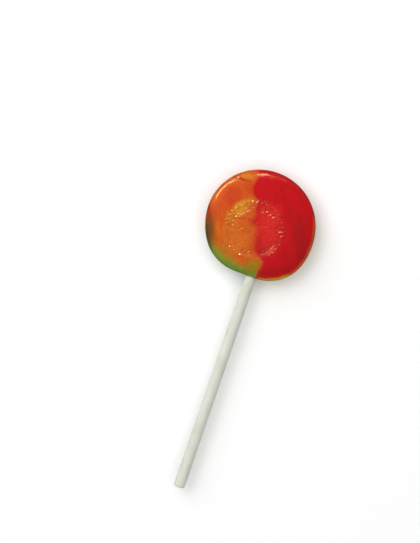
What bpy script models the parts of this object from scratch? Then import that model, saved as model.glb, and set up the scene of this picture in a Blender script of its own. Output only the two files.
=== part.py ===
"""A flat, round boiled-sugar lollipop on a rolled-paper stick, lying on its back.

Units are metres and +Z is up. The stick lies along Y with its free end at -Y and the head at +Y.
The whole is centred on the origin in X and Y, and the flat spot of the back rests on Z = 0.
"""

import math

import bpy

# Stick
STICK_DIAMETER = 0.0045
STICK_LENGTH = 0.114
STICK_END_ROUNDING = 0.0009
STICK_SIDES = 48

# Head
HEAD_RADIUS = 0.0214
MID_HEIGHT = 0.0065
FRONT_RISE = 0.0065
BACK_RISE = 0.00675
FACE_POWER = 3.0
BACK_FLAT_BLEND = 0.00015
HEAD_SIDES = 90
DOME_STEPS = 14

# Free end of the stick from the head's centre, and how far to one side of that centre the stick lies
STICK_REACH = 0.1071
STICK_OFFSET = 0.00265

# Moulding ridge around the edge
RIDGE_HEIGHT = 0.0002
RIDGE_HALF_WIDTH = 0.0005

# Pressed round field on each face, a little off the middle, with a low welt around it
FIELD_RADIUS = 0.0111
FIELD_DISH = 0.0002
WELT_HEIGHT = 0.00035
WELT_SPREAD = 0.0007
FRONT_FIELD_OFFSET = (-0.0020, -0.0029)
BACK_FIELD_OFFSET = (0.0010, -0.0012)

# Where the outline leaves the circle: direction in degrees, counted from the stick towards +X,
# spread in degrees, and height in metres
STICK_DENT = (0, 19.4, -0.00133)
FOLD_LOBE = (49, 29, 0.00128)
DENT_CORNER = (-48, 16, 0.0004)
SHOULDER_SWELL = (-121, 57, 0.00103)
OUTLINE_FEATURES = (STICK_DENT, FOLD_LOBE, DENT_CORNER, SHOULDER_SWELL)

# Clearance between the stick and the hole that it fills
SOCKET_GAP = 0.0003


def clear_scene():
    """Removes the objects that the scene starts with."""
    for item in list(bpy.data.objects):
        bpy.data.objects.remove(item, do_unlink=True)


def smooth_step(low, high, value):
    """Rises from 0 at low to 1 at high with level ends."""
    share = min(max((value - low) / (high - low), 0.0), 1.0)
    return share * share * (3 - 2 * share)


def soft_limit(value, limit, blend):
    """The smaller of the two, rounded over where they are within the blend of each other."""
    mix = max(blend - abs(value - limit), 0.0) / blend
    return min(value, limit) - mix * mix * blend / 4


def outline_growth(direction):
    """How far the outline stands out from the plain circle, for a direction in degrees."""
    growth = 0.0
    for centre, spread, height in OUTLINE_FEATURES:
        turn = (direction - centre + 180) % 360 - 180
        growth += height * math.exp(-(turn / spread) ** 2)
    return growth


def dome(share, rise):
    """Height of a plain face over the mid-plane, at a share of the way out to the rim."""
    return rise * max(1 - share ** FACE_POWER, 0.0) ** (1 / FACE_POWER)


def welt(share):
    """Height of the welt around the pressed field."""
    distance = (share * HEAD_RADIUS - FIELD_RADIUS) / WELT_SPREAD
    return WELT_HEIGHT * math.exp(-distance * distance)


def front_height(share):
    """The front face: domed, with the field inside the welt pressed in slightly."""
    radius = share * HEAD_RADIUS
    dish = FIELD_DISH * (1 - smooth_step(FIELD_RADIUS - 2 * WELT_SPREAD, FIELD_RADIUS, radius))
    return dome(share, FRONT_RISE) + welt(share) - dish


def back_height(share):
    """The back face: the same dome, cooled flat in the middle where it lay."""
    return soft_limit(dome(share, BACK_RISE) + welt(share), MID_HEIGHT, BACK_FLAT_BLEND)


def ring_shares():
    """Shares of the radius with a ring of points: even around the section, and closer on the welt."""
    turns = [math.pi / 2 * step / DOME_STEPS for step in range(DOME_STEPS)]
    dome_shares = [math.sin(turn) ** (2 / FACE_POWER) for turn in turns]
    welt_shares = [(FIELD_RADIUS + step * WELT_SPREAD) / HEAD_RADIUS for step in (-2, -1, 0, 1, 2)]
    clearance = WELT_SPREAD / HEAD_RADIUS / 2
    kept = [share for share in dome_shares
            if share < welt_shares[0] - clearance or share > welt_shares[-1] + clearance]
    return sorted(kept + welt_shares)


def head_profile():
    """Half the head's section, from the top of the axis over the rim to the bottom of the axis."""
    shares = ring_shares()
    body_radius = HEAD_RADIUS - RIDGE_HEIGHT
    front = [(share * body_radius, front_height(share)) for share in shares]
    ridge = [(body_radius, RIDGE_HALF_WIDTH), (HEAD_RADIUS, 0.0), (body_radius, -RIDGE_HALF_WIDTH)]
    back = [(share * body_radius, -back_height(share)) for share in reversed(shares)]
    return front + ridge + back


def shape_head(mesh):
    """Moves the turned head's points out to its real, slightly lopsided outline."""
    body_radius = HEAD_RADIUS - RIDGE_HEIGHT
    for vertex in mesh.vertices:
        x, y, z = vertex.co
        share = math.hypot(x, y) / body_radius
        direction = math.degrees(math.atan2(x, -y))
        growth = 1 + outline_growth(direction) * min(share, 1.0) ** 3 / HEAD_RADIUS
        field_offset = FRONT_FIELD_OFFSET if z > 0 else BACK_FIELD_OFFSET
        slide = 1 - smooth_step((FIELD_RADIUS + 2 * WELT_SPREAD) / HEAD_RADIUS, 1.0, share)
        vertex.co.x = x * growth + field_offset[0] * slide
        vertex.co.y = y * growth + field_offset[1] * slide


def box_centre():
    """Centre of the whole lollipop's box in X and Y, measured from the head's centre."""
    turns = [math.radians(quarter / 4) for quarter in range(4 * 360)]
    radii = [HEAD_RADIUS + outline_growth(math.degrees(turn)) for turn in turns]
    across = [radius * math.sin(turn) for radius, turn in zip(radii, turns)]
    along = [-radius * math.cos(turn) for radius, turn in zip(radii, turns)]
    return (max(across) + min(across)) / 2, (max(along) - STICK_REACH) / 2


def new_material(name, colour, roughness):
    """A plain material with the piece's colour."""
    material = bpy.data.materials.new(name)
    material.use_nodes = True
    shader = material.node_tree.nodes["Principled BSDF"]
    shader.inputs["Base Color"].default_value = (*colour, 1.0)
    shader.inputs["Roughness"].default_value = roughness
    shader.inputs["Metallic"].default_value = 0.0
    material.diffuse_color = (*colour, 1.0)
    return material


def new_collection(name):
    """A collection under the scene's own."""
    collection = bpy.data.collections.new(name)
    bpy.context.scene.collection.children.link(collection)
    return collection


def move_to(item, collection):
    """Puts an object in one collection only."""
    for other in list(item.users_collection):
        other.objects.unlink(item)
    collection.objects.link(item)


def turned_mesh(name, profile, sides):
    """Turns a profile in the XZ plane once around Z and returns the closed mesh."""
    outline = bpy.data.meshes.new(name + "_profile")
    points = [(radius, 0.0, height) for radius, height in profile]
    edges = [(number, number + 1) for number in range(len(points) - 1)]
    outline.from_pydata(points, edges, [])
    item = bpy.data.objects.new(name + "_profile", outline)
    bpy.context.scene.collection.objects.link(item)
    screw = item.modifiers.new("Turn", "SCREW")
    screw.axis = "Z"
    screw.steps = sides
    screw.render_steps = sides
    screw.use_merge_vertices = True
    screw.merge_threshold = 0.00001
    graph = bpy.context.evaluated_depsgraph_get()
    mesh = bpy.data.meshes.new_from_object(item.evaluated_get(graph))
    mesh.name = name
    bpy.data.objects.remove(item, do_unlink=True)
    bpy.data.meshes.remove(outline)
    return mesh


def add_stick_rod(name, radius, length, location):
    """A round rod along Y about its middle."""
    bpy.ops.mesh.primitive_cylinder_add(vertices=STICK_SIDES, radius=radius, depth=length,
                                        location=location, rotation=(math.pi / 2, 0, 0))
    rod = bpy.context.active_object
    rod.name = name
    rod.data.name = name
    return rod


def build_head(parts, cutters, centre, sugar):
    """The boiled-sugar head, with the blind hole that the stick fills."""
    mesh = turned_mesh("head", head_profile(), HEAD_SIDES)
    shape_head(mesh)
    mesh.shade_smooth()
    mesh.materials.clear()
    mesh.materials.append(sugar)
    head = bpy.data.objects.new("head", mesh)
    head.location = (centre[0], centre[1], MID_HEIGHT)
    parts.objects.link(head)

    inner_end = STICK_LENGTH - STICK_REACH + SOCKET_GAP
    outer_end = -1.5 * HEAD_RADIUS
    middle = (centre[0] + STICK_OFFSET, centre[1] + (inner_end + outer_end) / 2, MID_HEIGHT)
    socket = add_stick_rod("socket_cutter", STICK_DIAMETER / 2 + SOCKET_GAP, inner_end - outer_end, middle)
    socket.hide_render = True
    socket.display_type = "WIRE"
    move_to(socket, cutters)
    cut = head.modifiers.new("Socket", "BOOLEAN")
    cut.operation = "DIFFERENCE"
    cut.solver = "EXACT"
    cut.object = socket
    return head


def build_stick(parts, centre, paper):
    """The rolled-paper stick, its ends rounded."""
    middle = (centre[0] + STICK_OFFSET, centre[1] - STICK_REACH + STICK_LENGTH / 2, MID_HEIGHT)
    stick = add_stick_rod("stick", STICK_DIAMETER / 2, STICK_LENGTH, middle)
    rounding = stick.modifiers.new("Rounded ends", "BEVEL")
    rounding.width = STICK_END_ROUNDING
    rounding.segments = 4
    rounding.limit_method = "ANGLE"
    rounding.angle_limit = math.radians(60)
    stick.data.shade_smooth()
    stick.data.set_sharp_from_angle(angle=math.radians(50))
    stick.data.materials.append(paper)
    move_to(stick, parts)
    return stick


def main():
    """Builds the lollipop."""
    clear_scene()
    parts = new_collection("lollipop")
    cutters = new_collection("lollipop cutters")
    sugar = new_material("boiled sugar", (0.60, 0.06, 0.016), 0.12)
    paper = new_material("rolled paper", (0.68, 0.69, 0.63), 0.75)

    middle = box_centre()
    centre = (-middle[0], -middle[1])
    root = bpy.data.objects.new("lollipop", None)
    root.empty_display_size = 0.01
    parts.objects.link(root)
    head = build_head(parts, cutters, centre, sugar)
    stick = build_stick(parts, centre, paper)
    for piece in (head, stick):
        piece.parent = root


main()
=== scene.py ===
"""Looks of a flat, round boiled-sugar lollipop on a rolled-paper stick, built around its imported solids.

Units are metres. The lollipop lies on its back: +Y runs from the stick's free end to the head, and +Z is up.
"""

import math
import random

import bpy
import numpy as np
from bpy.props import FloatProperty, FloatVectorProperty, IntProperty, PointerProperty
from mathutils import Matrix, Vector, noise


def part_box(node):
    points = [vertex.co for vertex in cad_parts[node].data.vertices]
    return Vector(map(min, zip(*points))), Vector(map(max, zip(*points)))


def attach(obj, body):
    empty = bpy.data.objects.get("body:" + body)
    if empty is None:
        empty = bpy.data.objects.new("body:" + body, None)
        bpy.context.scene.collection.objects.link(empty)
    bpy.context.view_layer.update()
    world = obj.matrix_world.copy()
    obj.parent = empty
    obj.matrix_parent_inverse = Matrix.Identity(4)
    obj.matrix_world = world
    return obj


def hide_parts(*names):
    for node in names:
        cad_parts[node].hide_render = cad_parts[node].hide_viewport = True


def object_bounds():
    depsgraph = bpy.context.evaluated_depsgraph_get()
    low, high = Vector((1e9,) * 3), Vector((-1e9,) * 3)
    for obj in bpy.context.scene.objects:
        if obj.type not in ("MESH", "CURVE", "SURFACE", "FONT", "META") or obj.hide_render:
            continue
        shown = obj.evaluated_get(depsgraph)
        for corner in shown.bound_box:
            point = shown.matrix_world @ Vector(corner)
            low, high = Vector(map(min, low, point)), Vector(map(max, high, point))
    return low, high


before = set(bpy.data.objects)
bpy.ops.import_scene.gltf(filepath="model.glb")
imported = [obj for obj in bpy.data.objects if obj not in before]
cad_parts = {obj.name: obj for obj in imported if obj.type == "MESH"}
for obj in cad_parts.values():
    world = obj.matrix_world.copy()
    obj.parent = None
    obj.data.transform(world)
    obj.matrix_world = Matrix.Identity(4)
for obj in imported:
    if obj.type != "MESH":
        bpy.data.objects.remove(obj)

bl_info = {
    "name": "Boiled-sugar lollipop",
    "version": (1, 0, 0),
    "blender": (4, 5, 0),
    "location": "3D View > Sidebar > Lollipop",
    "description": "Dresses a flat lollipop's solids in pressed sugar, rolled paper and a plain studio",
    "category": "Object",
}

MM = 0.001
CAD_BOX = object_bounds()
HEAD_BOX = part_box("head")
STICK_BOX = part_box("stick")

# The stick, read from its solid
STICK_RADIUS = (STICK_BOX[1].x - STICK_BOX[0].x) / 2
STICK_LENGTH = STICK_BOX[1].y - STICK_BOX[0].y
STICK_MIDDLE = (STICK_BOX[0] + STICK_BOX[1]) / 2
MID_HEIGHT = STICK_MIDDLE.z

# The head's form, with the same values as its solid
HEAD_RADIUS = 0.0214
FRONT_RISE = 0.0065
BACK_RISE = 0.00675
FACE_POWER = 3.0
BACK_FLAT_BLEND = 0.00015
RIDGE_HEIGHT = 0.0002
FIELD_RADIUS = 0.0111
FIELD_DISH = 0.0002
WELT_HEIGHT = 0.00035
WELT_SPREAD = 0.0007
FRONT_FIELD_OFFSET = (-0.0020, -0.0029)
BACK_FIELD_OFFSET = (0.0010, -0.0012)

# The smooth body comes most of the way out to the crest of the moulding ridge
BODY_RADIUS = HEAD_RADIUS - RIDGE_HEIGHT / 3

# Where the outline leaves the circle: direction in degrees, counted from the stick towards +X,
# spread in degrees, and height in metres
STICK_DENT = (0, 19.4, -0.00133)
FOLD_LOBE = (49, 29, 0.00128)
DENT_CORNER = (-48, 16, 0.0004)
SHOULDER_SWELL = (-121, 57, 0.00103)
OUTLINE_FEATURES = (STICK_DENT, FOLD_LOBE, DENT_CORNER, SHOULDER_SWELL)

# How finely the head is modelled
HEAD_SIDES = 560
FRONT_RING_STEP = 0.00026
FIELD_RING_STEP = 0.00017
BACK_RING_STEP = 0.00050
STICK_SIDES = 96

# Rows of the pressed pattern inside the rope, as distances from the field's middle
BEAD_RING = 0.0088
PETAL_START = 0.0016
PETAL_END = 0.0070

# Half width of a bead and of the channel that the beads stand in
BEAD_HALF_WIDTH = 0.00050
CHANNEL_HALF_WIDTH = 0.00095

# How far the rope's strands shift for each millimetre outwards, in radians of their wave, where they
# slant most
ROPE_SLANT = -3.0

# The seam between the two front colours leans from the stick's line by this angle, in degrees
SEAM_LEAN = 18.9

# Where the camera looks, from the head's middle, in millimetres
CAMERA_AIM = Vector((-13.09, -23.40, 0.0))

# Places on the face are counted from the head's middle, in millimetres, across and along the seam's
# straight line. This is the seam's own course: how far along, and how far across.
SEAM = (
    (-22.0, -2.4), (-19.5, -2.1), (-17.4, -1.4), (-15.0, 0.3), (-12.8, -0.4), (-11.2, -1.8),
    (-9.0, -2.7), (-5.0, -2.2), (-1.5, -1.7), (1.2, -3.2), (3.5, -2.1), (6.0, -2.2),
    (9.5, -1.3), (12.5, -3.0), (15.5, -2.9), (18.0, -1.6), (22.0, -0.6),
)
SEAM_REACH = 22.0
SEAM_SWING = 5.0

# Patches in the sugar's colour: middle, half widths, lean in degrees, colour and strength
ORANGE_PATCHES = (
    ((-11.5, 11.5), (6.5, 5.0), 45, "ember", 0.85),
    ((-16.5, 5.0), (3.0, 6.0), 20, "ember", 0.6),
    ((-12.0, 0.5), (4.5, 4.5), 0, "amber", 0.35),
    ((-8.2, 6.6), (3.6, 2.6), 42, "gold", 0.95),
    ((-4.8, 9.0), (3.0, 1.8), 14, "gold", 0.45),
    ((-12.0, 3.6), (2.4, 2.0), 50, "gold", 0.35),
    # Two brownish strokes: painted shade in the creases of the pressed arc
    ((-5.9, 8.1), (1.4, 0.5), 40, "brown_and_shade", 0.3),
    ((-8.6, 7.0), (1.3, 0.5), 50, "brown_and_shade", 0.25),
    ((-5.0, 18.9), (3.2, 1.2), -8, "gold", 0.35),
    # A painted shade line along the crease at the upper left
    ((-7.8, 18.3), (3.4, 0.55), -21, "deep", 0.85),
    ((-9.5, -6.0), (4.8, 4.4), 0, "amber", 0.45),
    ((-8.2, 2.8), (4.8, 0.6), -5, "red", 0.35),
    ((-2.2, 1.5), (3.4, 0.9), -14, "red", 0.55),
    # Faint brownish patch at the lower left: partly the colours mixing, partly painted shadow
    ((-16.5, -5.5), (3.4, 1.6), -60, "brown_and_shade", 0.12),
    ((-8.5, -12.6), (4.0, 1.5), -25, "ember", 0.3),
    ((-4.6, 15.0), (2.4, 3.2), 0, "ember", 0.7),
    # Along the left rim: brownish, partly the colours mixing and partly painted shadow, then a painted shade
    # line in deep red
    ((-19.4, 2.5), (1.9, 6.5), 4, "brown_and_shade", 0.35),
    ((-20.6, 6.0), (1.2, 7.0), 8, "deep", 0.7),
)
RED_PATCHES = (
    ((2.6, -0.5), (5.0, 10.0), 3, "bright", 0.8),
    ((6.0, 5.0), (2.2, 4.0), -25, "bright", 0.4),
    # Two deep patches towards the right and lower right rim: painted shade on the shoulder turned from the
    # key light
    ((15.2, -7.0), (3.6, 10.5), 8, "deep", 0.9),
    ((10.5, -13.0), (5.0, 2.5), -40, "deep", 0.4),
    ((10.5, 2.0), (1.0, 7.0), -6, "deep", 0.15),
    ((6.0, -17.6), (8.0, 1.8), 12, "deep", 0.6),
    ((0.3, 5.6), (1.3, 2.0), 0, "ember", 0.35),
)

# Olive where the green ends against the orange: the same, without the colour
OLIVE_PATCHES = (
    ((-14.9, -9.2), (2.8, 2.0), -45, 0.45),
    ((-11.6, -12.2), (2.6, 1.5), -32, 0.45),
    ((-3.8, -17.0), (3.2, 2.4), 0, 0.8),
)

# Patches whose strength changes from place to place: middle, half widths and lean
MUDDY_PATCH = ((-4.0, -15.8), (4.0, 3.6), 0)
# At the left rim: brownish, partly the colours mixing and partly painted shadow
LEFT_RIM_MIX_AND_SHADOW = ((-22.2, -2.6), (4.5, 8.4), 8)
BACK_RED_SPOT = ((3.4, -15.5), (2.6, 4.2), -14)

# Circles on the face: middle, radius and softness. The first two bound a colour near the rim, which lies
# outside them, and the last is the pressed field.
GREEN_CIRCLE = ((4.0, 10.0), 28.5, 1.7)
BACK_RIM_CIRCLE = ((0.8, -1.2), 19.6, 1.0)
PRESSED_CIRCLE = ((-2.8, -2.1), 12.4, 0.8)

# Where the pattern is pressed sharply: middle, half widths, lean in degrees and strength
SHARP_PATCHES = (
    ((-11.0, 4.0), (6.5, 2.4), 58, 1.0),
    ((-5.0, 8.6), (5.0, 2.2), 12, 1.0),
    ((3.6, 5.8), (7.0, 2.4), -42, 0.75),
    ((8.0, -1.0), (2.0, 4.0), 0, 0.55),
    ((5.3, -2.2), (2.6, 1.5), 5, 0.9),
    ((2.4, -7.6), (2.8, 4.4), -25, 0.85),
    ((-7.0, -9.2), (3.4, 1.8), -25, 0.7),
    ((-0.8, 4.4), (1.6, 1.2), 0, 0.7),
    ((-1.2, 9.0), (2.6, 1.4), 0, 1.0),
)

# Creases in the front: start, end and half width in millimetres, and depth in metres
CREASES = (
    ((-10.5, 19.0), (-6.5, 17.2), 0.35, 0.00009),
    ((-15.5, -2.0), (-13.0, 5.5), 0.6, 0.00005),
    ((7.0, 15.5), (12.5, 11.5), 0.7, 0.00005),
    ((-5.0, 1.5), (2.0, 2.2), 0.6, 0.00004),
)

# The long lap at the lower left: the middle and radius of its arc in millimetres, and its depth in metres
LAP_CENTRE = (-3.0, 2.0)
LAP_RADIUS = 18.4
LAP_DEPTH = 0.00010

# Burst bubbles: half widths in millimetres, depth as a share of the half width, and share on the front
PIT_SEED = 11
PIT_SIZES = (0.16, 0.38)
PIT_DEPTH = 0.22
PIT_FRONT_SHARE = 0.6

# How far the sugar is drawn out along the stick
COLLAR_LENGTH = 0.00038

# Rounding of the stick's ends
STICK_END_ROUNDING = 0.0009

# The tent's brightness from straight below, 0, over the horizon, 0.5, to straight above, 1
TENT_STOPS = ((0.0, 0.06), (0.49, 0.06), (0.50, 0.8), (0.55, 0.6), (0.65, 0.16), (1.0, 0.10))

# The wide soft lights: clock angle in the picture, degrees above the floor, and distance, width and height
# in metres
OVERHEAD = (0, 90, 1.6, (3.0, 3.0))
KEY = (315, 45, 1.0, (1.0, 1.0))

# The low strips that show in the gloss: name, clock angle in the picture and degrees above the floor,
# width and height in metres, and share of the strips' power
STRIP_DISTANCE = 0.7
STRIPS = (
    ("left strip", 315, 15, (0.27, 0.16), 0.60),
    ("left glow", 333, 23, (0.12, 0.10), 0.20),
    ("top strip", 7, 33, (0.105, 0.08), 0.27),
    ("small strip", 27, 31, (0.10, 0.06), 0.027),
)

FLOOR_SIZE = 12.0
FLOOR_GAP = 0.00002
SENSOR_WIDTH = 36


def smooth_step(low, high, value):
    """Rises from 0 at low to 1 at high with level ends."""
    share = np.clip((value - low) / (high - low), 0.0, 1.0)
    return share * share * (3 - 2 * share)


def bell(distance, spread):
    """1 at no distance, fading to 0 over about twice the spread."""
    return np.exp(-(distance / spread) ** 2)


def smooth_bump(distance, half_width):
    """1 in the middle, 0 beyond the half width, with a flat top and soft sides."""
    return 1 - smooth_step(0.55, 1.0, np.abs(distance) / half_width)


def outline_growth(direction):
    """How far the head's outline stands out from the plain circle, for directions in degrees."""
    growth = np.zeros_like(direction)
    for centre, spread, height in OUTLINE_FEATURES:
        turn = (direction - centre + 180) % 360 - 180
        growth += height * bell(turn, spread)
    return growth


def head_centre():
    """Middle of the head at mid thickness, found from its solid's box and the outline."""
    directions = np.arange(0.0, 360.0, 0.25)
    radii = HEAD_RADIUS + outline_growth(directions)
    right = (radii * np.sin(np.radians(directions))).max()
    top = (-radii * np.cos(np.radians(directions))).max()
    return Vector((HEAD_BOX[1].x - right, HEAD_BOX[1].y - top, MID_HEIGHT))


HEAD_CENTRE = head_centre()
STICK_ACROSS = STICK_MIDDLE.x - HEAD_CENTRE.x


def dome(share, rise):
    """Height of a plain face over the mid plane, at a share of the way out to the rim."""
    return rise * np.maximum(1 - share ** FACE_POWER, 0.0) ** (1 / FACE_POWER)


def welt(radius):
    """Height of the plain welt around the pressed field."""
    return WELT_HEIGHT * bell(radius - FIELD_RADIUS, WELT_SPREAD)


def front_height(share):
    """The front face: domed, with the field inside the welt pressed in slightly."""
    radius = share * HEAD_RADIUS
    dish = FIELD_DISH * (1 - smooth_step(FIELD_RADIUS - 2 * WELT_SPREAD, FIELD_RADIUS, radius))
    return dome(share, FRONT_RISE) + welt(radius) - dish


def back_height(share):
    """The back face: the same dome, cooled flat in the middle where it lay."""
    height = dome(share, BACK_RISE) + welt(share * HEAD_RADIUS)
    mix = np.maximum(BACK_FLAT_BLEND - np.abs(height - MID_HEIGHT), 0.0) / BACK_FLAT_BLEND
    return np.minimum(height, MID_HEIGHT) - mix * mix * BACK_FLAT_BLEND / 4


def ring_shares(height_of, step, field_step):
    """Shares of the radius for rings spaced evenly along the section of a face, closer in the field."""
    fine = 1 - (1 - np.linspace(0.0, 1.0, 4000)) ** 2
    section = np.stack([fine * BODY_RADIUS, height_of(fine)])
    travel = np.hypot(*np.diff(section, axis=1))
    in_field = fine[1:] * BODY_RADIUS < 1.2 * FIELD_RADIUS
    counted = np.concatenate([[0.0], np.cumsum(travel / np.where(in_field, field_step, step))])
    return np.interp(np.arange(int(counted[-1])), counted, fine)


def head_profile():
    """Half the head's section, from the top of the axis over the rim to the bottom of the axis."""
    front = ring_shares(front_height, FRONT_RING_STEP, FIELD_RING_STEP)
    back = ring_shares(back_height, BACK_RING_STEP, BACK_RING_STEP)[::-1]
    points = [(share * BODY_RADIUS, height) for share, height in zip(front, front_height(front))]
    points += [(share * BODY_RADIUS, -height) for share, height in zip(back, back_height(back))]
    return points


def turned_mesh(name, profile, sides):
    """Turns a profile in the XZ plane once around Z and returns the closed mesh."""
    outline = bpy.data.meshes.new(name + "_profile")
    points = [(radius, 0.0, height) for radius, height in profile]
    edges = [(number, number + 1) for number in range(len(points) - 1)]
    outline.from_pydata(points, edges, [])
    item = bpy.data.objects.new(name + "_profile", outline)
    bpy.context.scene.collection.objects.link(item)
    screw = item.modifiers.new("Turn", "SCREW")
    screw.axis = "Z"
    screw.steps = sides
    screw.render_steps = sides
    screw.use_merge_vertices = True
    screw.merge_threshold = 0.000001
    graph = bpy.context.evaluated_depsgraph_get()
    mesh = bpy.data.meshes.new_from_object(item.evaluated_get(graph))
    mesh.name = name
    bpy.data.objects.remove(item, do_unlink=True)
    bpy.data.meshes.remove(outline)
    return mesh


def mesh_points(mesh):
    """The mesh's points as an array with a row for each."""
    points = np.zeros(len(mesh.vertices) * 3, np.float32)
    mesh.vertices.foreach_get("co", points)
    return points.reshape(-1, 3).astype(float)


def mesh_normals(mesh):
    """The mesh's smooth normals as an array with a row for each point."""
    normals = np.zeros(len(mesh.vertices) * 3, np.float32)
    mesh.vertex_normals.foreach_get("vector", normals)
    return normals.reshape(-1, 3).astype(float)


def move_points(mesh, points):
    """Puts the mesh's points where the array says."""
    mesh.vertices.foreach_set("co", points.astype(np.float32).ravel())
    mesh.update()


def unevenness(points, size, seed):
    """Smooth random heights from about -1 to 1, with lumps of about the given size."""
    shift = Vector((seed * 3.1, seed * 7.7, seed * 1.3))
    return np.array([noise.noise(Vector(point) / size + shift) for point in points])


def leaning(points):
    """The points' places on the face, across and along the seam."""
    lean = math.radians(SEAM_LEAN)
    across = points[:, 0] * math.cos(lean) + points[:, 1] * math.sin(lean)
    along = points[:, 1] * math.cos(lean) - points[:, 0] * math.sin(lean)
    return across, along


def oval_distance(across, along, centre, size, lean):
    """How far out of a leaning oval a place on the face is: 0 in its middle and 1 on its edge."""
    turn = math.radians(lean)
    right = across - centre[0]
    ahead = along - centre[1]
    wide = (right * math.cos(turn) + ahead * math.sin(turn)) / size[0]
    tall = (ahead * math.cos(turn) - right * math.sin(turn)) / size[1]
    return (wide * wide + tall * tall) ** 0.5


def sharpness(points):
    """How sharply the pattern is pressed at each point, from 0 to 1."""
    across, along = leaning(points)
    sharp = np.zeros_like(across)
    for centre, size, lean, strength in SHARP_PATCHES:
        distance = oval_distance(across / MM, along / MM, centre, size, lean)
        sharp = np.maximum(sharp, strength * bell(distance, 1.1))
    return sharp


def stroke_depth(points, start, end, width):
    """1 along the line from start to end on a face, fading to 0 at its width and past its ends."""
    start = np.array(start) * MM
    end = np.array(end) * MM
    run = end - start
    reach = np.clip(((points[:, :2] - start) @ run) / (run @ run), 0.0, 1.0)
    nearest = start + reach[:, None] * run
    return bell(np.hypot(*(points[:, :2] - nearest).T), width) * (1 - 0.6 * np.abs(2 * reach - 1))


class SugarHeadSettings(bpy.types.PropertyGroup):
    """Sizes and colours of the boiled-sugar head."""

    orange: FloatVectorProperty(
        name="Orange", description="Orange sugar, front left", subtype="COLOR",
        default=(0.58, 0.100, 0.008), min=0, max=1)
    amber: FloatVectorProperty(
        name="Amber", description="Paler streaks in the orange sugar", subtype="COLOR",
        default=(0.64, 0.175, 0.010), min=0, max=1)
    ember: FloatVectorProperty(
        name="Ember", description="Redder orange near the rim", subtype="COLOR",
        default=(0.54, 0.050, 0.008), min=0, max=1)
    gold: FloatVectorProperty(
        name="Gold", description="Yellowish patches in the orange sugar", subtype="COLOR",
        default=(0.68, 0.28, 0.016), min=0, max=1)
    # Brownish sugar: partly where the colours mix, partly painted shade in the creases of the pressed arc and
    # along the left rim
    brown_and_shade: FloatVectorProperty(
        name="Brown", description="Where the colours mix at the rim and in creases", subtype="COLOR",
        default=(0.10, 0.05, 0.010), min=0, max=1)
    red: FloatVectorProperty(
        name="Red", description="Red sugar, front right", subtype="COLOR",
        default=(0.52, 0.005, 0.009), min=0, max=1)
    bright_red: FloatVectorProperty(
        name="Bright red", description="Brighter red sugar beside the seam", subtype="COLOR",
        default=(0.66, 0.019, 0.012), min=0, max=1)
    # Deep red sugar: partly darker streaks, partly painted shade towards the right rim, along a crease and at
    # the left rim
    deep_red_and_shade: FloatVectorProperty(
        name="Deep red", description="Darker streaks in the red sugar", subtype="COLOR",
        default=(0.37, 0.007, 0.008), min=0, max=1)
    olive: FloatVectorProperty(
        name="Olive", description="Where green runs into orange", subtype="COLOR",
        default=(0.24, 0.205, 0.010), min=0, max=1)
    green: FloatVectorProperty(
        name="Green", description="Green sugar, behind the orange", subtype="COLOR",
        default=(0.155, 0.29, 0.028), min=0, max=1)
    leaf: FloatVectorProperty(
        name="Deep green", description="Darker streaks in the green sugar", subtype="COLOR",
        default=(0.045, 0.17, 0.035), min=0, max=1)
    yellow: FloatVectorProperty(
        name="Yellow", description="Yellow sugar, behind the red", subtype="COLOR",
        default=(0.62, 0.44, 0.012), min=0, max=1)
    roughness: FloatProperty(
        name="Roughness", description="Roughness of the cleanest sugar", subtype="FACTOR",
        default=0.13, min=0.02, max=1)
    strands: IntProperty(
        name="Rope strands", description="Strands in the pressed rope border", default=38, min=8, max=90)
    rope_cut: FloatProperty(
        name="Rope depth", description="Depth of the cuts between the rope's strands", unit="LENGTH",
        default=0.00042, min=0, max=0.0006)
    beads: IntProperty(
        name="Beads", description="Beads in the row inside the rope", default=32, min=6, max=80)
    bead_depth: FloatProperty(
        name="Bead depth", description="Depth of the channel that the beads stand in", unit="LENGTH",
        default=0.00042, min=0, max=0.0006)
    petals: IntProperty(
        name="Petals", description="Petals of the small flower in the middle", default=8, min=3, max=16)
    petal_depth: FloatProperty(
        name="Petal depth", description="Depth of the grooves around the petals", unit="LENGTH",
        default=0.00030, min=0, max=0.0005)
    lumps: FloatProperty(
        name="Lumps", description="Height of the small lumps on the pressed field", unit="LENGTH",
        default=0.0002, min=0, max=0.0005)
    ripple: FloatProperty(
        name="Ripple", description="Height of the broad ripples in the sugar", unit="LENGTH",
        default=0.00006, min=0, max=0.0003)
    pits: IntProperty(
        name="Pits", description="Burst bubbles on the surface", default=90, min=0, max=400)


class PaperStickSettings(bpy.types.PropertyGroup):
    """Sizes and colours of the rolled-paper stick."""

    paper: FloatVectorProperty(
        name="Paper", description="Colour of the paper", subtype="COLOR",
        default=(0.655, 0.665, 0.605), min=0, max=1)
    shade: FloatVectorProperty(
        name="Paper shade", description="Colour of the paper's darker mottling", subtype="COLOR",
        default=(0.56, 0.575, 0.455), min=0, max=1)
    sheet: FloatProperty(
        name="Sheet thickness", description="Step at the edge of the rolled sheet", unit="LENGTH",
        default=0.00007, min=0, max=0.0003)
    wraps: IntProperty(
        name="Wraps", description="Turns of paper that show on the end", default=8, min=2, max=20)


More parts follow.
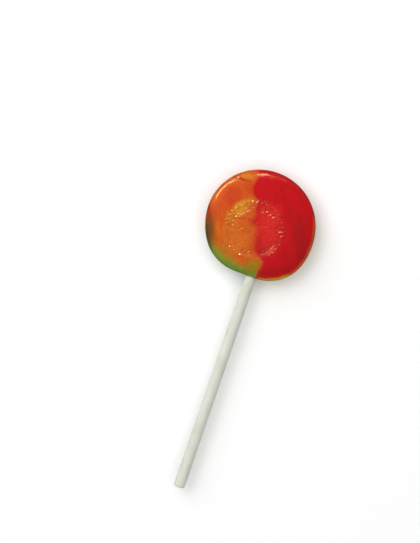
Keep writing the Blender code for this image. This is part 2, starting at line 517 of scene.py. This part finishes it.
class StudioSettings(bpy.types.PropertyGroup):
    """The plain floor, the soft lights and the camera."""

    floor: FloatVectorProperty(
        name="Floor", description="Colour of the plain floor", subtype="COLOR",
        default=(0.97, 0.97, 0.97), min=0, max=1)
    tent: FloatProperty(
        name="Tent light", description="Brightness of the pale surroundings", default=0.95, min=0, max=5)
    overhead_power: FloatProperty(
        name="Overhead power", description="Power of the wide softbox overhead", unit="POWER",
        default=33, min=0, max=200)
    key_power: FloatProperty(
        name="Key power", description="Power of the softbox at the upper left", unit="POWER",
        default=6.2, min=0, max=100)
    strip_power: FloatProperty(
        name="Strip power", description="Power of the low strips that show in the gloss", unit="POWER",
        default=5.9, min=0, max=100)
    strip_colour: FloatVectorProperty(
        name="Strip colour", description="Colour of the low strips", subtype="COLOR",
        default=(0.9, 1.0, 0.5), min=0, max=1)
    picture_height: FloatProperty(
        name="Picture height", description="Height of the camera's picture at the lollipop", unit="LENGTH",
        default=0.2125, min=0.01, max=2)
    lens: FloatProperty(
        name="Lens", description="Focal length of the camera", subtype="DISTANCE_CAMERA",
        default=100, min=20, max=400)


def fill_ramp(ramp, stops, bend):
    """Gives a ramp its stops, each a place and a grey, and the way it bends between them."""
    ramp.interpolation = bend
    while len(ramp.elements) < len(stops):
        ramp.elements.new(0.5)
    for element, (place, grey) in zip(ramp.elements, stops):
        element.position = place
        element.color = (grey, grey, grey, 1.0)


class Shade:
    """A value, colour or vector in a material. A sum written with it adds its own Math nodes."""

    def __init__(self, tree, socket=None):
        self.tree = tree
        self.socket = socket

    def node(self, kind, settings=None, output=0, stops=None, bend="LINEAR", **values):
        """Adds a node, sets it up, fills or links its sockets and returns one of its outputs."""
        item = self.tree.nodes.new(kind)
        for name, value in (settings or {}).items():
            setattr(item, name, value)
        if stops:
            fill_ramp(item.color_ramp, stops, bend)
        for name, value in values.items():
            self.plug(item, name, value)
        return Shade(self.tree, item.outputs[output])

    def plug(self, item, name, value):
        """Links or fills one socket, named by its number as in_0 or by its own name."""
        key = int(name[3:]) if name.startswith("in_") else name.replace("_", " ")
        socket = item.inputs[key]
        if isinstance(value, Shade):
            self.tree.links.new(value.socket, socket)
        elif socket.type == "RGBA" and len(value) == 3:
            socket.default_value = (*value, 1.0)
        else:
            socket.default_value = value

    def math(self, operation, *values):
        """A Math node on these values."""
        sockets = {f"in_{number}": value for number, value in enumerate(values)}
        return self.node("ShaderNodeMath", {"operation": operation}, **sockets)

    def __add__(self, other):
        return self.math("ADD", self, other)

    def __radd__(self, other):
        return self.math("ADD", other, self)

    def __sub__(self, other):
        return self.math("SUBTRACT", self, other)

    def __rsub__(self, other):
        return self.math("SUBTRACT", other, self)

    def __mul__(self, other):
        return self.math("MULTIPLY", self, other)

    def __rmul__(self, other):
        return self.math("MULTIPLY", other, self)

    def __truediv__(self, other):
        return self.math("DIVIDE", self, other)

    def __rtruediv__(self, other):
        return self.math("DIVIDE", other, self)

    def __pow__(self, other):
        return self.math("POWER", self, other)

    def rise(self, low, high):
        """0 below low and 1 above high, with a smooth step between."""
        return self.node("ShaderNodeMapRange", {"interpolation_type": "SMOOTHSTEP"},
                         Value=self, From_Min=low, From_Max=high)

    def fall(self, low, high):
        """1 below low and 0 above high, with a smooth step between."""
        return 1 - self.rise(low, high)

    def scaled(self, factor):
        """The vector, longer by the factor."""
        return self.node("ShaderNodeVectorMath", {"operation": "SCALE"}, in_0=self, Scale=factor)

    def shifted(self, by):
        """The vector with another added."""
        return self.node("ShaderNodeVectorMath", {"operation": "ADD"}, in_0=self, in_1=by)

    def stretched(self, by):
        """The vector with each part multiplied."""
        return self.node("ShaderNodeVectorMath", {"operation": "MULTIPLY"}, in_0=self, in_1=by)

    def parts(self):
        """The vector's three parts."""
        first = self.node("ShaderNodeSeparateXYZ", Vector=self)
        outputs = first.socket.node.outputs
        return [Shade(self.tree, outputs[number]) for number in range(3)]

    def cloud(self, size, detail=2.0, output=0, seed=0.0):
        """Smooth random values from 0 to 1, with lumps of the given size in the vector's own unit."""
        return self.node("ShaderNodeTexNoise", {"noise_dimensions": "4D"}, output,
                         Vector=self, W=seed, Scale=1 / size, Detail=detail, Roughness=0.5)


def mix_colours(tree, mask, first, second):
    """The first colour where the mask is 0 and the second where it is 1."""
    item = tree.nodes.new("ShaderNodeMix")
    item.data_type = "RGBA"
    shade = Shade(tree)
    shade.plug(item, "in_0", mask)
    for name, value in (("in_6", first), ("in_7", second)):
        shade.plug(item, name, tuple(value) if not isinstance(value, Shade) else value)
    return Shade(tree, item.outputs[2])


def start_material(name):
    """A new material and the shader that its colours go into."""
    material = bpy.data.materials.new(name)
    material.use_nodes = True
    shader = material.node_tree.nodes["Principled BSDF"]
    return material, shader, Shade(material.node_tree)


def outside_circle(across, along, centre, radius, softness):
    """1 outside a circle on the face and 0 inside it, in millimetres."""
    right = across - centre[0]
    up = along - centre[1]
    distance = (right * right + up * up) ** 0.5
    return distance.rise(radius - softness, radius + softness)


def patch_share(across, along, centre, size, lean):
    """1 inside a leaning oval on the face, fading to 0 outside it. Sizes are half widths in millimetres."""
    return oval_distance(across, along, centre, size, lean).fall(0.35, 1.3)


def add_patches(base, across, along, patches, colours, strength=1.0):
    """The base colour with each patch mixed in, in its own colour and as strongly as it says."""
    for centre, size, lean, name, share in patches:
        mask = patch_share(across, along, centre, size, lean) * share * strength
        base = mix_colours(across.tree, mask, base, colours[name])
    return base


def seam_line(along):
    """Where the wavy seam between the two halves lies across the face, in millimetres."""
    stops = [(0.5 + up / SEAM_REACH / 2, 0.5 + across / SEAM_SWING / 2) for up, across in SEAM]
    place = along / (2 * SEAM_REACH) + 0.5
    course = place.node("ShaderNodeValToRGB", stops=stops, bend="CARDINAL", Fac=place)
    return (course - 0.5) * (2 * SEAM_SWING)


def orange_side(across, along, radius, streaks, fine, settings):
    """Orange sugar with amber streaks, fine ember specks and the patches of the left side, some of them
    painted shade in creases and along the left rim.
    """
    tree = across.tree
    colours = {"amber": settings.amber, "ember": settings.ember, "red": settings.red, "gold": settings.gold,
               "deep": settings.deep_red_and_shade, "brown_and_shade": settings.brown_and_shade}
    orange = mix_colours(tree, streaks.rise(0.35, 0.75) * 0.5, settings.orange, settings.amber)
    speckle = fine.rise(0.50, 0.70) * (radius.fall(12.0, 16.0) * 0.35 + 0.3)
    orange = mix_colours(tree, speckle, orange, settings.ember)
    return add_patches(orange, across, along, ORANGE_PATCHES, colours, streaks * 1.4 + 0.3)


def red_side(across, along, streaks, settings):
    """Red sugar with darker streaks and the patches of the right side, two of them painted shade towards the
    right rim.
    """
    colours = {"ember": settings.ember, "deep": settings.deep_red_and_shade, "bright": settings.bright_red}
    red = mix_colours(across.tree, streaks.rise(0.45, 0.7) * 0.5, settings.red, settings.deep_red_and_shade)
    return add_patches(red, across, along, RED_PATCHES, colours)


def lower_left_colour(front, across, along, left, streaks, settings):
    """The front with the green crescent at the lower left and the olive where it ends."""
    tree = across.tree
    muddy = patch_share(across, along, *MUDDY_PATCH) * streaks.rise(0.25, 0.65) * 0.8
    front = mix_colours(tree, muddy, front, settings.olive)
    green = mix_colours(tree, streaks.rise(0.42, 0.66) * 0.7, settings.green, settings.olive)
    crescent = outside_circle(across, along, *GREEN_CIRCLE) * along.fall(-4.0, 1.0)
    front = mix_colours(tree, crescent * left, front, green)
    for centre, size, lean, strength in OLIVE_PATCHES:
        mixed = patch_share(across, along, centre, size, lean) * left * strength
        front = mix_colours(tree, mixed, front, settings.olive)
    return front


def rim_colour(front, across, along, up, settings):
    """The front with its rim: brownish at the left, partly from mixing and partly painted shadow, orange and
    yellow at the lower right, and darker all round, partly deeper sugar and partly painted shade.
    """
    tree = across.tree
    # Brownish at the left rim: partly the colours mixing, partly painted shadow
    left_rim_mix_and_shadow = patch_share(across, along, *LEFT_RIM_MIX_AND_SHADOW) * 0.95
    front = mix_colours(tree, left_rim_mix_and_shadow, front, settings.brown_and_shade)
    lower_rim = up.fall(2.6, 3.6) * across.rise(-2.5, 0.5) * along.fall(1.0, 5.0)
    front = mix_colours(tree, lower_rim * 0.9, front, settings.orange)
    yellow_rim = lower_rim * along.fall(-20.3, -18.3) * 0.7
    front = mix_colours(tree, yellow_rim, front, settings.yellow)
    # Darker copy of the colour towards the rim all round: partly deeper sugar, partly painted shade
    edge = up.fall(1.8, 3.4)
    return mix_colours(tree, edge * 0.25, front, front.stretched((0.55, 0.55, 0.55)))


def front_colour(across, along, up, radius, streaks, fine, settings):
    """The front: orange to the left of the seam and red to its right, green and yellow at the rim."""
    tree = across.tree
    orange = orange_side(across, along, radius, streaks, fine, settings)
    beside_seam = across - seam_line(along)
    orange = mix_colours(tree, beside_seam.rise(-3.6, 0.2) * (streaks + 0.1), orange, settings.ember)
    softness = along.rise(-13.0, -8.0) * along.fall(1.0, 6.0) * 0.9 + 0.7
    right = (beside_seam / softness).rise(-1.0, 1.0)
    front = mix_colours(tree, right, orange, red_side(across, along, streaks, settings))
    front = lower_left_colour(front, across, along, 1 - right, streaks, settings)
    return rim_colour(front, across, along, up, settings)


def back_colour(across, along, streaks, settings):
    """The back: green and yellow across a soft seam, with orange and red drawn round the rim."""
    tree = across.tree
    green = mix_colours(tree, streaks.rise(0.40, 0.64), settings.green, settings.leaf)
    yellow = mix_colours(tree, streaks.rise(0.45, 0.75) * 0.35, settings.yellow, settings.amber)
    right = ((across - seam_line(along) - 1.5) / 3.2).rise(-1.0, 1.0)
    back = mix_colours(tree, right, green, yellow)
    upper_edge = outside_circle(across, along, *BACK_RIM_CIRCLE) * along.rise(-4.0, 3.0)
    back = mix_colours(tree, upper_edge * across.fall(-2.0, 1.0) * 0.8, back, settings.orange)
    back = mix_colours(tree, upper_edge * across.rise(-1.0, 2.0) * 0.9, back, settings.red)
    spot = patch_share(across, along, *BACK_RED_SPOT) * (streaks + 0.4)
    return mix_colours(tree, spot, back, settings.red)


def sugar_material(settings):
    """Glossy, slightly translucent boiled sugar in four colours that run into each other."""
    material, shader, start = start_material("boiled sugar")
    tree = material.node_tree
    place = start.node("ShaderNodeTexCoord", output=3).scaled(1 / MM)
    face = place.node("ShaderNodeVectorRotate", {"rotation_type": "Z_AXIS"},
                      Vector=place, Angle=-math.radians(SEAM_LEAN))
    swirl = face.cloud(3.6, detail=3.0, output=1, seed=1.7).shifted((-0.5, -0.5, -0.5))
    flow = face.shifted(swirl.scaled(1.3))
    across, along, up = flow.parts()
    radius = (across * across + along * along) ** 0.5
    broad = flow.stretched((1.0, 0.5, 1.0)).cloud(2.6, detail=3.0, seed=4.2)
    fine = flow.stretched((1.8, 0.5, 1.0)).cloud(0.9, detail=2.0, seed=8.1)
    streaks = broad * 0.7 + fine * 0.3

    front = front_colour(across, along, up, radius, streaks, fine, settings)
    back = back_colour(across, along, streaks, settings)
    colour = mix_colours(tree, up.rise(-1.4, -0.5), back, front)
    specks = face.stretched((1.3, 0.8, 1.0)).cloud(0.55, detail=2.0, seed=12.0)
    colour = mix_colours(tree, specks.rise(0.35, 0.68), colour.stretched((1.07, 1.16, 1.08)),
                         colour.stretched((0.96, 0.83, 0.85)))
    tree.links.new(colour.socket, shader.inputs["Base Color"])
    pressed = 1 - outside_circle(across, along, *PRESSED_CIRCLE)
    tree.links.new(pressed.socket, shader.inputs["Coat Weight"])

    smears = place.cloud(2.4, detail=3.0, seed=2.0).rise(0.45, 0.75)
    grain = place.cloud(0.35, detail=2.0, seed=6.0)
    roughness = smears * 0.08 + grain * 0.05 + settings.roughness
    tree.links.new(roughness.socket, shader.inputs["Roughness"])
    height = grain * 0.3 + place.cloud(0.9, detail=2.0, seed=9.0) * (radius.fall(11.0, 13.5) * 0.4 + 0.6)
    bump = start.node("ShaderNodeBump", Strength=0.8, Distance=0.00007, Height=height)
    tree.links.new(bump.socket, shader.inputs["Normal"])

    shader.inputs["IOR"].default_value = 1.5
    shader.inputs["Specular IOR Level"].default_value = 0.28
    shader.inputs["Coat IOR"].default_value = 1.5
    shader.inputs["Coat Roughness"].default_value = 0.08
    shader.inputs["Subsurface Weight"].default_value = 0.3
    shader.inputs["Subsurface Radius"].default_value = (1.0, 0.5, 0.3)
    shader.inputs["Subsurface Scale"].default_value = 0.0009
    return material


def paper_material(settings):
    """Matt rolled paper with faint mottling and fibres along the stick."""
    material, shader, start = start_material("rolled paper")
    tree = material.node_tree
    place = start.node("ShaderNodeTexCoord", output=3).scaled(1 / MM)
    mottling = place.stretched((1.0, 0.35, 1.0)).cloud(2.6, detail=3.0, seed=3.0)
    fibres = place.stretched((1.0, 0.12, 1.0)).cloud(0.16, detail=2.0, seed=5.0)
    shade = mottling.rise(0.38, 0.72) * 0.7 + fibres.rise(0.45, 0.8) * 0.3
    colour = mix_colours(tree, shade, settings.paper, settings.shade)
    tree.links.new(colour.socket, shader.inputs["Base Color"])
    roughness = fibres * 0.2 + 0.6
    tree.links.new(roughness.socket, shader.inputs["Roughness"])
    bump = start.node("ShaderNodeBump", Strength=0.4, Distance=0.00003, Height=fibres + mottling * 0.5)
    tree.links.new(bump.socket, shader.inputs["Normal"])
    shader.inputs["IOR"].default_value = 1.45
    return material


def floor_material(settings):
    """A plain pale floor."""
    material, shader, start = start_material("plain floor")
    shader.inputs["Base Color"].default_value = (*settings.floor, 1.0)
    shader.inputs["Roughness"].default_value = 0.85
    shader.inputs["Specular IOR Level"].default_value = 0.2
    return material


def rope_relief(radius, turn, wear, settings):
    """Slanted cuts that make the welt a rope, pressed deep in some places and nearly gone in others."""
    lean = ROPE_SLANT * np.sin(2 * (turn - math.radians(SEAM_LEAN)))
    slant = lean * (radius - FIELD_RADIUS) / MM
    strand = 0.5 + 0.5 * np.cos(settings.strands * turn + slant + 0.8 * np.sin(3 * turn + 1.0))
    ring = bell(radius - FIELD_RADIUS, 1.2 * WELT_SPREAD)
    return -ring * (settings.rope_cut * (1 - strand) * wear + 0.75 * WELT_HEIGHT * (1 - wear))


def bead_relief(radius, turn, settings):
    """A sunk channel inside the rope, with a row of small round beads left standing in it."""
    turns_each = math.tau / settings.beads
    beside = np.abs(turn % turns_each - turns_each / 2) * radius
    bead = bell(np.hypot(beside, radius - BEAD_RING), BEAD_HALF_WIDTH)
    return -settings.bead_depth * smooth_bump(radius - BEAD_RING, CHANNEL_HALF_WIDTH) * (1 - bead)


def rosette_relief(radius, turn, settings):
    """Grooves around the petals of a small flower and around its middle."""
    turns_each = math.tau / settings.petals
    beside = np.abs(turn % turns_each - turns_each / 2) * radius
    reach = np.clip((radius - PETAL_START) / (PETAL_END - PETAL_START), 0.0, 1.0)
    half_width = 0.40 * turns_each * radius * np.sin(math.pi * reach) ** 0.6
    on_petal = (radius > PETAL_START) & (radius < PETAL_END)
    edge = bell(beside - half_width, 0.36 * MM) * on_petal
    vein = 0.5 * bell(beside, 0.20 * MM) * on_petal * reach
    middle = 0.4 * bell(radius - 0.82 * PETAL_START, 0.30 * MM)
    return -settings.petal_depth * np.maximum(np.maximum(edge, vein), middle)


def shape_outline(mesh):
    """Moves the turned head out to its real, slightly lopsided outline. Returns the plain radius and turn."""
    points = mesh_points(mesh)
    x, y, z = points.T
    share = np.hypot(x, y) / BODY_RADIUS
    turn = np.arctan2(x, -y)
    growth = 1 + outline_growth(np.degrees(turn)) * np.minimum(share, 1.0) ** 3 / HEAD_RADIUS
    slide = 1 - smooth_step((FIELD_RADIUS + 2 * WELT_SPREAD) / HEAD_RADIUS, 1.0, share)
    front = z > 0
    offset_x = np.where(front, FRONT_FIELD_OFFSET[0], BACK_FIELD_OFFSET[0])
    offset_y = np.where(front, FRONT_FIELD_OFFSET[1], BACK_FIELD_OFFSET[1])
    points[:, 0] = x * growth + offset_x * slide
    points[:, 1] = y * growth + offset_y * slide
    move_points(mesh, points)
    return share * HEAD_RADIUS, turn


def sugar_relief(points, radius, turn, settings):
    """How far each point of the head stands out of the smooth form, in metres. It is never above zero."""
    front = smooth_step(-0.5 * MM, 0.5 * MM, points[:, 2])
    flat = (1 - front) * (1 - smooth_step(FIELD_RADIUS, 1.25 * FIELD_RADIUS, radius))
    wear = np.clip(0.25 + 0.8 * sharpness(points) + 0.6 * unevenness(points, 4.2 * MM, 5), 0.15, 1.0)
    pressed = rope_relief(radius, turn, wear, settings)
    pressed += (bead_relief(radius, turn, settings) + rosette_relief(radius, turn, settings)) * wear
    broad = unevenness(points, 6.5 * MM, 1) + 0.55 * unevenness(points, 2.4 * MM, 2)
    calm = 1 - 0.75 * smooth_step(0.88, 0.98, radius / HEAD_RADIUS)
    relief = pressed + settings.ripple * (broad - 1.4) * (1 - flat) * calm
    inside = 1 - smooth_step(1.05 * FIELD_RADIUS, 1.25 * FIELD_RADIUS, radius)
    lumps = np.clip(unevenness(points, 1.0 * MM, 3) + 0.6 * unevenness(points, 0.6 * MM, 4), -0.8, 0.8)
    near_rope = bell(radius - 0.92 * FIELD_RADIUS, 2.2 * MM)
    relief += settings.lumps * (inside * (0.2 + 0.7 * wear) + 0.4 * near_rope + 0.1 * calm) * (lumps - 0.8)
    return np.minimum(relief, 0.0)


def add_pits(points, relief, count):
    """Sinks small burst bubbles into the relief."""
    chance = random.Random(PIT_SEED)
    for _ in range(count):
        turn = chance.uniform(0, math.tau)
        distance = HEAD_RADIUS * math.sqrt(chance.uniform(0.0, 0.97))
        side = 1 if chance.random() < PIT_FRONT_SHARE else -1
        size = chance.uniform(*PIT_SIZES) * MM
        x, y = distance * math.cos(turn), distance * math.sin(turn)
        same_side = points[:, 2] * side > 0
        spot = bell(np.hypot(points[:, 0] - x, points[:, 1] - y), size)
        relief -= same_side * spot * size * PIT_DEPTH


def add_creases(points, relief):
    """Presses in the folds where sheets of sugar lap over each other."""
    front = smooth_step(0.5 * MM, 2.0 * MM, points[:, 2])
    across, along = leaning(points)
    from_lap = np.hypot(across - LAP_CENTRE[0] * MM, along - LAP_CENTRE[1] * MM) - LAP_RADIUS * MM
    lower_left = smooth_step(1.0 * MM, -3.0 * MM, across) * smooth_step(-4.0 * MM, -9.0 * MM, along)
    relief -= LAP_DEPTH * front * lower_left * bell(from_lap, 0.45 * MM)
    turned = np.stack([across, along], axis=1)
    for start, end, width, depth in CREASES:
        relief -= depth * front * stroke_depth(turned, start, end, width * MM)


def add_ridge(points, turn):
    """Leaves the thin, uneven ridge where the two halves of the mould met."""
    around = np.stack([np.cos(turn), np.sin(turn), np.zeros_like(turn)], axis=1) * HEAD_RADIUS
    height = RIDGE_HEIGHT / 3 * np.clip(0.65 + unevenness(around, 2.4 * MM, 8), 0.0, 1.0)
    away = points[:, :2] / np.maximum(np.hypot(points[:, 0], points[:, 1]), MM)[:, None]
    points[:, :2] += away * (height * bell(points[:, 2], 0.35 * MM))[:, None]


def grip_stick(points):
    """Draws the sugar out a little where it laps over the stick."""
    from_axis = np.hypot(points[:, 0] - STICK_ACROSS, points[:, 2])
    near = smooth_step(-0.6 * HEAD_RADIUS, -0.85 * HEAD_RADIUS, points[:, 1])
    over = smooth_step(0.2 * STICK_RADIUS, 0.9 * STICK_RADIUS, np.abs(points[:, 2]))
    lip = bell(np.maximum(from_axis - STICK_RADIUS, 0.0), 0.5 * MM)
    points[:, 1] -= COLLAR_LENGTH * lip * near * over


class LOLLIPOP_OT_sugar_head(bpy.types.Operator):
    """Model the boiled-sugar head over its solid"""

    bl_idname = "lollipop.sugar_head"
    bl_label = "Sugar head"

    def execute(self, context):
        settings = context.scene.lollipop_sugar
        mesh = turned_mesh("sugar_head", head_profile(), HEAD_SIDES)
        radius, turn = shape_outline(mesh)
        points = mesh_points(mesh)
        relief = sugar_relief(points, radius, turn, settings)
        add_pits(points, relief, settings.pits)
        add_creases(points, relief)
        points += mesh_normals(mesh) * relief[:, None]
        add_ridge(points, turn)
        grip_stick(points)
        move_points(mesh, points)
        mesh.shade_smooth()
        mesh.materials.clear()
        mesh.materials.append(sugar_material(settings))
        head = bpy.data.objects.new("sugar_head", mesh)
        head.location = HEAD_CENTRE
        context.scene.collection.objects.link(head)
        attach(head, "root")
        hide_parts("head")
        return {"FINISHED"}


def stick_profile():
    """Half the stick's section, from the middle of its free end over the side to its inner end."""
    edge = STICK_END_ROUNDING
    half = STICK_LENGTH / 2
    flat = [(radius, half) for radius in np.arange(0.0, STICK_RADIUS - edge, 0.06 * MM)]
    bend = [(STICK_RADIUS - edge + edge * math.sin(turn), half - edge + edge * math.cos(turn))
            for turn in np.linspace(0.0, math.pi / 2, 14)]
    side = [(STICK_RADIUS, height) for height in np.linspace(half - edge, -half + edge, 90)[1:-1]]
    inner_bend = [(radius, -height) for radius, height in reversed(bend)]
    inner = [(radius, -height) for radius, height in reversed(flat[::6])]
    return flat + bend + side + inner_bend + inner


class LOLLIPOP_OT_paper_stick(bpy.types.Operator):
    """Model the rolled-paper stick over its solid"""

    bl_idname = "lollipop.paper_stick"
    bl_label = "Paper stick"

    def execute(self, context):
        settings = context.scene.lollipop_stick
        mesh = turned_mesh("paper_stick", stick_profile(), STICK_SIDES)
        points = mesh_points(mesh)
        x, y, z = points.T
        radius = np.hypot(x, y)
        half = STICK_LENGTH / 2
        turn = np.arctan2(y, x) / math.tau + 0.35 + 0.12 * z / half
        outer = smooth_step(0.8 * STICK_RADIUS, STICK_RADIUS, radius)
        step = settings.sheet * (turn % 1.0) * outer
        shrink = 1 - step / np.maximum(radius, 1e-6)
        wrap = (radius / STICK_RADIUS * settings.wraps - turn) % 1.0
        end = smooth_step(half - 0.4 * MM, half - 0.05 * MM, z) * (1 - outer)
        sunk = settings.sheet * smooth_step(0.75, 1.0, wrap) * end
        sunk += 0.00010 * bell(radius, 0.25 * MM) * end
        move_points(mesh, np.stack([x * shrink, sunk - z, y * shrink], axis=1))
        mesh.shade_smooth()
        mesh.materials.clear()
        mesh.materials.append(paper_material(settings))
        stick = bpy.data.objects.new("paper_stick", mesh)
        stick.location = STICK_MIDDLE
        context.scene.collection.objects.link(stick)
        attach(stick, "root")
        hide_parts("stick")
        return {"FINISHED"}


def picture_direction(clock, elevation):
    """A direction away from the lollipop: a clock angle in the picture, and degrees above the floor."""
    lean = math.radians(SEAM_LEAN)
    right = Vector((math.cos(lean), math.sin(lean), 0.0))
    up = Vector((-math.sin(lean), math.cos(lean), 0.0))
    level = up * math.cos(math.radians(clock)) + right * math.sin(math.radians(clock))
    return level * math.cos(math.radians(elevation)) + Vector((0, 0, math.sin(math.radians(elevation))))


def add_softbox(name, clock, elevation, distance, size, power):
    """An oblong soft light that faces the head."""
    light = bpy.data.lights.new(name, "AREA")
    light.shape = "RECTANGLE"
    light.size, light.size_y = size
    light.energy = power
    lamp = bpy.data.objects.new(name, light)
    away = picture_direction(clock, elevation)
    lamp.location = HEAD_CENTRE + away * distance
    lamp.rotation_euler = away.to_track_quat("Z", "Y").to_euler()
    lamp.visible_camera = False
    bpy.context.scene.collection.objects.link(lamp)
    return lamp


def light_tent(scene, brightness):
    """Pale surroundings, bright near the floor and dim higher up, so they leave the sugar's colour deep."""
    world = bpy.data.worlds.new("light tent")
    scene.world = world
    world.use_nodes = True
    tree = world.node_tree
    start = Shade(tree)
    height = start.node("ShaderNodeTexCoord", output=0).parts()[2] * 0.5 + 0.5
    ramp = height.node("ShaderNodeValToRGB", stops=TENT_STOPS, Fac=height)
    tree.links.new(ramp.socket, tree.nodes["Background"].inputs["Color"])
    tree.nodes["Background"].inputs["Strength"].default_value = brightness


class LOLLIPOP_OT_studio(bpy.types.Operator):
    """Lay the plain floor and set up the soft lights and the camera"""

    bl_idname = "lollipop.studio"
    bl_label = "Studio"

    def execute(self, context):
        settings = context.scene.lollipop_studio
        scene = context.scene
        bpy.ops.mesh.primitive_plane_add(size=FLOOR_SIZE, location=(0, 0, CAD_BOX[0].z - FLOOR_GAP))
        floor = context.active_object
        floor.name = "floor"
        floor.data.materials.append(floor_material(settings))
        floor.visible_glossy = False

        light_tent(scene, settings.tent)
        overhead = add_softbox("overhead", *OVERHEAD, settings.overhead_power)
        overhead.visible_glossy = False
        key = add_softbox("key", *KEY, settings.key_power)
        key.visible_glossy = False
        for name, clock, elevation, size, share in STRIPS:
            strip = add_softbox(name, clock, elevation, STRIP_DISTANCE, size, share * settings.strip_power)
            strip.visible_diffuse = False
            strip.data.color = settings.strip_colour

        camera = bpy.data.objects.new("camera", bpy.data.cameras.new("camera"))
        scene.collection.objects.link(camera)
        camera.data.lens = settings.lens
        camera.data.sensor_width = SENSOR_WIDTH
        distance = settings.picture_height * settings.lens / SENSOR_WIDTH
        aim = HEAD_CENTRE + CAMERA_AIM * MM
        camera.location = aim + Vector((0, 0, distance))
        camera.rotation_euler = (0, 0, math.radians(SEAM_LEAN))
        scene.camera = camera
        scene.view_settings.view_transform = "Standard"
        return {"FINISHED"}


class LOLLIPOP_PT_panel(bpy.types.Panel):
    """The lollipop's settings and the buttons that build it"""

    bl_idname = "LOLLIPOP_PT_panel"
    bl_label = "Lollipop"
    bl_space_type = "VIEW_3D"
    bl_region_type = "UI"
    bl_category = "Lollipop"

    def draw(self, context):
        for group, operator in (("lollipop_sugar", "lollipop.sugar_head"),
                                ("lollipop_stick", "lollipop.paper_stick"),
                                ("lollipop_studio", "lollipop.studio")):
            settings = getattr(context.scene, group)
            box = self.layout.box()
            for name in settings.__annotations__:
                box.prop(settings, name)
            box.operator(operator)


CLASSES = (SugarHeadSettings, PaperStickSettings, StudioSettings, LOLLIPOP_OT_sugar_head,
           LOLLIPOP_OT_paper_stick, LOLLIPOP_OT_studio, LOLLIPOP_PT_panel)


def register():
    """Adds the classes and the settings to Blender."""
    for item in CLASSES:
        bpy.utils.register_class(item)
    bpy.types.Scene.lollipop_sugar = PointerProperty(type=SugarHeadSettings)
    bpy.types.Scene.lollipop_stick = PointerProperty(type=PaperStickSettings)
    bpy.types.Scene.lollipop_studio = PointerProperty(type=StudioSettings)


def unregister():
    """Takes the settings and the classes out again."""
    del bpy.types.Scene.lollipop_sugar
    del bpy.types.Scene.lollipop_stick
    del bpy.types.Scene.lollipop_studio
    for item in reversed(CLASSES):
        bpy.utils.unregister_class(item)


def main():
    """Builds the whole lollipop."""
    register()
    bpy.ops.lollipop.sugar_head()
    bpy.ops.lollipop.paper_stick()
    bpy.ops.lollipop.studio()


if __name__ == "__main__":
    main()
